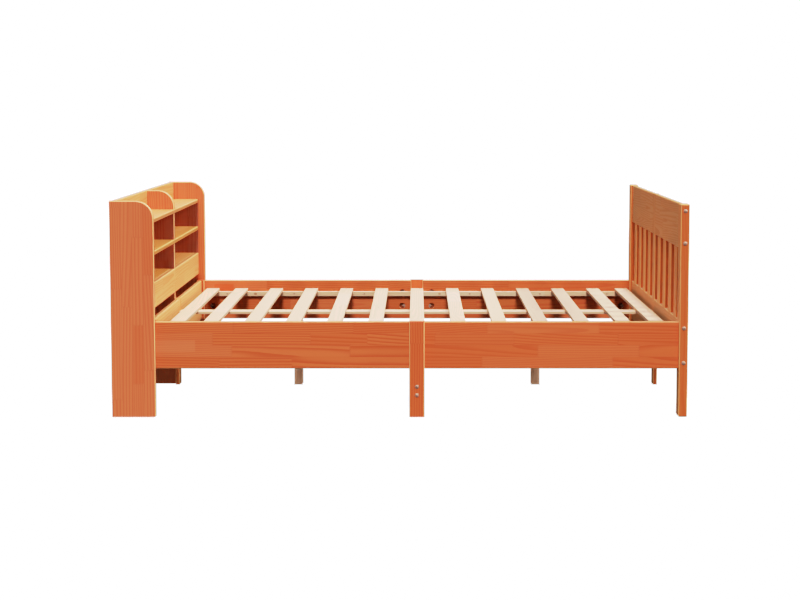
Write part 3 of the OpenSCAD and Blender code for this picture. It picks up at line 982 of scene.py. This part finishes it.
@dataclass
class Sides(SubAssembly):
    """Rails and thick middle legs of the two sides."""

    seed: int = 50
    boards: dict[str, Grain] = field(
        default_factory=lambda: {
            **dict.fromkeys(SIDE_RAILS, Grain.ALONG_X),
            "side_leg_left": Grain.ALONG_Z,
            "side_leg_right": Grain.ALONG_Z,
        }
    )
    finishes: dict[str, Pine] = field(
        default_factory=lambda: {
            "side_rail_left_head": LINED,
            "side_rail_left_foot": EVEN,
            "side_rail_right_head": FAR_SHADED,
            "side_rail_right_foot": FAR_SHADED,
        }
    )
    bored: tuple[str, ...] = SIDE_RAILS
    tones: dict[str, float] = field(
        default_factory=lambda: {"side_leg_left": -0.2, "side_leg_right": -0.2}
    )


@dataclass
class Footboard(SubAssembly):
    """Posts, panels, rails and spindles at the foot."""

    seed: int = 70
    boards: dict[str, Grain] = field(
        default_factory=lambda: {
            "foot_post_left": Grain.ALONG_Z,
            "foot_post_right": Grain.ALONG_Z,
            "foot_mid_post": Grain.ALONG_Z,
            "foot_panel_left": Grain.ALONG_Y,
            "foot_panel_right": Grain.ALONG_Y,
            "foot_rail_left": Grain.ALONG_Y,
            "foot_rail_right": Grain.ALONG_Y,
            "foot_spindles_left": Grain.ALONG_Z,
            "foot_spindles_right": Grain.ALONG_Z,
        }
    )
    finishes: dict[str, Pine] = field(
        default_factory=lambda: {
            **dict.fromkeys(("foot_panel_left", "foot_panel_right"), FOOT),
            **dict.fromkeys(("foot_rail_left", "foot_rail_right"), FOOT_RAIL),
            **dict.fromkeys(("foot_post_left", "foot_post_right"), UPRIGHT),
            **dict.fromkeys(SPINDLES, UPRIGHT),
            "foot_mid_post": FOOT_UPRIGHT,
        }
    )
    # Spindles follow each other at 139.5 mm, so that each is one strip
    strips: dict[str, float] = field(default_factory=lambda: dict.fromkeys(SPINDLES, 0.1395))
    tones: dict[str, float] = field(default_factory=lambda: dict.fromkeys(SPINDLES, 0.2))


@dataclass
class Deck(SubAssembly):
    """Slats and what carries them, in raw pine."""

    seed: int = 100
    boards: dict[str, Grain] = field(
        default_factory=lambda: {
            **dict.fromkeys(SLATS, Grain.ALONG_Y),
            "ledger_left_head": Grain.ALONG_X,
            "ledger_left_foot": Grain.ALONG_X,
            "ledger_right_head": Grain.ALONG_X,
            "ledger_right_foot": Grain.ALONG_X,
            "center_beam_head": Grain.ALONG_X,
            "center_beam_foot": Grain.ALONG_X,
            "center_leg_head": Grain.ALONG_Z,
            "center_leg_foot": Grain.ALONG_Z,
            "beam_cleat_head": Grain.ALONG_Y,
            "beam_cleat_foot": Grain.ALONG_Y,
            "cross_stretcher": Grain.ALONG_Y,
            "dowels": Grain.ALONG_Y,
        }
    )
    pine: Pine = RAW


@dataclass
class Fittings:
    """Bolts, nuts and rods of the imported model, and the wood screws with their recesses.

    Head and shank are a screw's radii. The point's length is in shank radii, and the tip
    is a share of the shank. Arm is how far an arm of the cross recess reaches out, and
    arm_half is half its width. The recess's floor and middle are shares of its mouth.
    Pair is how far the two screws of a leg or a cleat lie from the middle of the bed.
    """

    metal: Metal = ZINC_AND_REFLECTION
    nodes: tuple[str, ...] = (
        "connector_bolts",
        "barrel_nuts",
        "tie_rods",
        "rod_nuts",
        "crescent_washers",
    )
    head: float = 0.004
    head_depth: float = 0.002
    shank: float = 0.002
    short: float = 0.025
    long: float = 0.034
    point: float = 2.5
    tip: float = 0.05
    arm: float = 0.0024
    arm_half: float = 0.0006
    recess: float = 0.0013
    recess_floor: float = 0.72
    recess_middle: float = 0.02
    pair: float = 0.015
    ledger_bays: tuple[int, ...] = (0, 2, 4, 7, 9, 11)
    slant: tuple[float, float, float] = (0.31, 0.52, 0.79)

    def dress(self) -> None:
        """Gives every fitting the metal, and makes the screws."""
        plated = self.metal.material()
        for node in self.nodes:
            wear(node, plated)
            LOG.info("dressed %s in %s", node, plated.name)
        screws = self.screws()
        screws.data.materials.append(plated)
        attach(screws, "root")
        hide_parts("wood_screws")
        LOG.info("made %s for %d screws", screws.name, len(self.places()[0]))

    def profile(self, length: float) -> tuple[np.ndarray, np.ndarray]:
        """Works out one screw, which points down from its flush head at the origin.

        The surface is (r cos t, r sin t, z) over rings and angles t. The rings that bound
        the recess follow a cross: r = arm / cos p near an arm's end and half / sin p along
        its side, where p is the angle to the nearest arm. The other rings are circles.

        Args:
            length: Length of the screw.

        Returns:
            Points as rings, angles and coordinates, and the faces as corners of the flat list.
        """
        bend = math.atan(self.arm_half / self.arm)
        quarter = np.array([-bend, 0.0, bend, math.pi / 8, math.pi / 4, 3 * math.pi / 8])
        turn = (quarter + np.arange(4)[:, None] * math.pi / 2).ravel()
        near = np.abs((turn + math.pi / 4) % (math.pi / 2) - math.pi / 4)
        sides = self.arm_half / np.maximum(np.sin(near), 1e-6)
        cross = np.minimum(self.arm / np.cos(near), sides)
        circle = np.ones_like(turn)
        outline = (
            (cross * self.recess_middle, -self.recess),
            (cross * self.recess_floor, -self.recess),
            (cross, 0.0),
            (self.head * circle, 0.0),
            (self.shank * circle, -self.head_depth),
            (self.shank * circle, self.point * self.shank - length),
            (self.shank * self.tip * circle, -length),
        )
        radius = np.array([ring for ring, _ in outline])
        height = np.array([level for _, level in outline])[:, None] * circle
        points = np.stack([radius * np.cos(turn), radius * np.sin(turn), height], axis=2)
        rings, steps = radius.shape
        ring, step = np.meshgrid(np.arange(rings - 1), np.arange(steps), indexing="ij")
        here, below = ring * steps, ring * steps + steps
        after = (step + 1) % steps
        faces = np.stack([here + step, below + step, below + after, here + after], axis=2)
        return points, faces.reshape(-1, 4)

    def places(self) -> tuple[np.ndarray, np.ndarray, np.ndarray]:
        """Works out where the screws' heads are, which way they face, and the lengths.

        Every slat has a screw over each ledger and over the beam, and the middle slat's
        stand off its middle. In some bays between slats a screw holds the ledger.

        Returns:
            The heads' centres, the unit vectors out of them and the screws' lengths, one
            row for each screw.
        """
        slats = [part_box(name) for name in SLATS]
        middle = np.array([(low.x + high.x) / 2 for low, high in slats])
        low, high = slats[0]
        top, bottom, aside = high.z, low.z, (high.x - low.x) / 4
        ledge, ledge_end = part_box("ledger_right_foot")
        over, halfway = (ledge.y + ledge_end.y) / 2, (ledge.z + ledge_end.z) / 2
        beside = middle + np.where(np.arange(len(SLATS)) == len(SLATS) // 2, aside, 0.0)
        rows, ways = [], []
        for y in (-over, 0.0, over):
            rows += [(x, y, top) for x in beside]
            ways += [(0.0, 0.0, 1.0)] * len(beside)
        for side in (-1.0, 1.0):
            for bay in self.ledger_bays:
                rows.append(((middle[bay] + middle[bay + 1]) / 2, side * ledge.y, halfway))
                ways.append((0.0, -side, 0.0))
            for leg in ("center_leg_head", "center_leg_foot"):
                low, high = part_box(leg)
                rows.append(((low.x + high.x) / 2, side * self.pair, bottom))
                ways.append((0.0, 0.0, 1.0))
            for cleat, way in (("beam_cleat_head", 1.0), ("beam_cleat_foot", -1.0)):
                low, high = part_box(cleat)
                face = high.x if way > 0 else low.x
                rows.append((face, side * self.pair, (low.z + high.z) / 2))
                ways.append((way, 0.0, 0.0))
        turns = np.array(ways)
        return np.array(rows), turns, np.where(turns[:, 2] > 0.5, self.short, self.long)

    def screws(self) -> bpy.types.Object:
        """Makes all the screws as one mesh.

        Each copy is turned so that its Z lies along the head's way: the other two axes are
        way x (a fixed slanted vector) and their cross product.

        Returns:
            The object.
        """
        centres, ways, lengths = self.places()
        flat = np.array([self.profile(length)[0].reshape(-1, 3) for length in lengths])
        faces = self.profile(self.short)[1]
        first = np.cross(ways, np.array(self.slant))
        first /= np.linalg.norm(first, axis=1, keepdims=True)
        second = np.cross(ways, first)
        axes = np.stack([first, second, ways], axis=1)
        spread = np.einsum("npk,nkc->npc", flat, axes) + centres[:, None, :]
        corners = faces[None] + np.arange(len(centres))[:, None, None] * flat.shape[1]
        mesh = bpy.data.meshes.new("wood_screws_crosshead")
        mesh.from_pydata(spread.reshape(-1, 3).tolist(), [], corners.reshape(-1, 4).tolist())
        closed = bmesh.new()
        closed.from_mesh(mesh)
        bmesh.ops.holes_fill(closed, edges=closed.edges)
        bmesh.ops.recalc_face_normals(closed, faces=closed.faces)
        closed.to_mesh(mesh)
        closed.free()
        piece = bpy.data.objects.new(mesh.name, mesh)
        bpy.context.scene.collection.objects.link(piece)
        return piece


@dataclass(frozen=True)
class Lamp:
    """A distant light.

    It has the direction towards it, its strength, the angle of its disc in degrees, and
    whether it makes highlights.
    """

    name: str
    towards: tuple[float, float, float]
    strength: float
    spread: float
    shines: bool = True


@dataclass
class Studio:
    """White floor and backdrop, soft lights and the camera.

    Lamps, sky and curve are given for an exposure of no stops. Of the sky they give the
    strength below and above the horizon, and how high it turns from one to the other.
    """

    eye: tuple[float, float, float] = (0.068, -6.6354, 1.222)
    lens: float = 69.034
    shift: Pair = (-0.0214, -0.09)
    pitch: float = 4.657
    view_end: float = 200.0
    stops: float = 2.0
    curve: tuple[Pair, ...] = (
        (0.0, 0.0),
        (0.5, 0.5),
        (0.8, 0.62),
        (1.1, 0.72),
        (1.6, 0.79),
        (2.2, 0.85),
        (2.5, 1.0),
        (4.0, 1.0),
    )
    sky: Pair = (0.06, 0.33)
    sky_turn: Pair = (-0.10, 0.40)
    lamps: tuple[Lamp, ...] = (
        Lamp("front_light", (0.0, -1.0, 0.85), 3.9, 11.0),
        Lamp("key_light", (1.0, 0.0, 0.85), 5.0, 14.0),
        Lamp("top_light", (0.0, 0.0, 1.0), 0.5, 50.0, False),
        Lamp("back_light", (0.0, 1.0, 0.6), 2.1, 40.0, False),
        Lamp("fill_light", (-1.0, -0.15, 0.5), 0.6, 60.0, False),
    )
    floor_reach: float = 30.0
    dome_radius: float = 28.0
    dome_foot: float = -0.02
    greys: Pair = (0.18, 0.22)

    @property
    def share(self) -> float:
        """Gives what the stops leave of a strength."""
        return 0.5**self.stops

    def build(self) -> None:
        """Sets up floor, backdrop, sky, lamps, camera and tone."""
        self.floor()
        self.backdrop()
        self.sky_light()
        self.lights()
        self.camera()
        self.tone()

    def white(self, name: str, lumps: float, rough: float, glow: float) -> bpy.types.Material:
        """Makes a white that is mostly its own glow, so that the bed hardly shades it.

        Args:
            name: Name of the material.
            lumps: Number of its faint clouds in a metre.
            rough: Roughness.
            glow: Strength of the glow.

        Returns:
            The material.
        """
        graph = Graph.paint(name)
        cloud = graph.noise(graph.coordinates.outputs["Object"], lumps)
        low, high = ((grey, grey, grey) for grey in self.greys)
        light = {"Emission_Color": (1.0, 1.0, 1.0), "Emission_Strength": glow}
        return graph.finish(graph.blend(cloud, low, high), rough, **light)

    def surface(self, name: str, points: np.ndarray, material: bpy.types.Material) -> None:
        """Makes a stage surface, which lights nothing and shows only to the camera.

        Args:
            name: Name of the object.
            points: Array of rows, columns and coordinates.
            material: Its material.
        """
        rows, columns = points.shape[:2]
        first = (np.arange(rows - 1)[:, None] * columns + np.arange(columns - 1)).ravel()
        faces = np.stack([first, first + 1, first + columns + 1, first + columns], axis=1)
        mesh = bpy.data.meshes.new(name)
        mesh.from_pydata(points.reshape(-1, 3).tolist(), [], faces.tolist())
        mesh.materials.append(material)
        piece = bpy.data.objects.new(name, mesh)
        bpy.context.scene.collection.objects.link(piece)
        for ray in ("diffuse", "glossy", "transmission", "shadow"):
            setattr(piece, f"visible_{ray}", False)

    def floor(self) -> None:
        """Lays a flat floor at height 0."""
        reach = np.linspace(-self.floor_reach, self.floor_reach, 7)
        x, y = np.meshgrid(reach, reach)
        points = np.stack([x, y, np.zeros_like(x)], axis=2)
        paint = self.white("white_floor", lumps=40.0, rough=0.8, glow=0.62)
        self.surface("floor", points, paint)

    def backdrop(self) -> None:
        """Closes the view behind the bed with a dome.

        Its points are radius * (cos a cos b, sin a cos b, sin b), with a all round and b
        from just below the floor to straight up.
        """
        around = np.linspace(0.0, 2.0 * math.pi, 49)
        up = np.linspace(self.dome_foot, math.pi / 2, 13)
        a, b = np.meshgrid(around, up)
        shell = np.stack([np.cos(a) * np.cos(b), np.sin(a) * np.cos(b), np.sin(b)], axis=2)
        paint = self.white("white_backdrop", lumps=1.0, rough=1.0, glow=0.64)
        self.surface("backdrop", self.dome_radius * shell, paint)

    def sky_light(self) -> None:
        """Lights the bed from all round, more from above than from below."""
        world = bpy.data.worlds.new("white_sky")
        bpy.context.scene.world = world
        graph = Graph(world)
        below, above = (strength * self.share for strength in self.sky)
        inputs = {0: graph.coordinates.outputs["Generated"]}
        height = Field(graph, graph.node("ShaderNodeSeparateXYZ", inputs=inputs).outputs[2])
        light = {"Strength": height.rise(*self.sky_turn) * (above - below) + below}
        glow = graph.node("ShaderNodeBackground", {}, {"Color": (1.0, 1.0, 1.0), **light})
        graph.node("ShaderNodeOutputWorld", {}, {"Surface": glow.outputs[0]})

    def lights(self) -> None:
        """Lights the bed with the lamps."""
        for lamp in self.lamps:
            light = bpy.data.lights.new(lamp.name, "SUN")
            light.energy = lamp.strength * self.share
            light.angle = math.radians(lamp.spread)
            holder = bpy.data.objects.new(lamp.name, light)
            holder.rotation_mode = "QUATERNION"
            holder.rotation_quaternion = Vector(lamp.towards).to_track_quat("Z", "Y")
            holder.visible_glossy = lamp.shines
            bpy.context.scene.collection.objects.link(holder)

    def camera(self) -> None:
        """Puts the camera where the photograph was taken from."""
        lens = bpy.data.cameras.new("camera")
        lens.lens = self.lens
        lens.shift_x, lens.shift_y = self.shift
        lens.clip_end = self.view_end
        camera = bpy.data.objects.new("camera", lens)
        camera.location = self.eye
        camera.rotation_euler = (math.radians(90.0 - self.pitch), 0.0, 0.0)
        bpy.context.scene.collection.objects.link(camera)
        bpy.context.scene.camera = camera

    def tone(self) -> None:
        """Sets the tone curve: straight in the shadows, with soft highlights.

        Blender's curve runs from 0 to 1, so the scene is darker by the stops before the
        curve, and the exposure that follows brings it back.
        """
        settings = bpy.context.scene.view_settings
        settings.view_transform = "Standard"
        settings.exposure = self.stops
        settings.use_curve_mapping = True
        mapping = settings.curve_mapping
        combined = mapping.curves[3]
        while len(combined.points) < len(self.curve):
            combined.points.new(0.5, 0.5)
        for point, (before, after) in zip(combined.points, self.curve):
            point.location = (before * self.share, after * self.share)
            point.handle_type = "VECTOR"
        mapping.extend = "HORIZONTAL"
        mapping.update()


def main() -> None:
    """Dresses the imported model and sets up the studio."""
    bpy.context.view_layer.update()
    for assembly in (Bookcase(), HeadFrame(), Sides(), Footboard(), Deck(), Fittings()):
        assembly.dress()
        LOG.info("%s is done", type(assembly).__name__)
    Studio().build()
    bpy.context.view_layer.update()


if __name__ == "__main__":
    logging.basicConfig(level=logging.INFO, format="%(name)s: %(message)s")
    main()
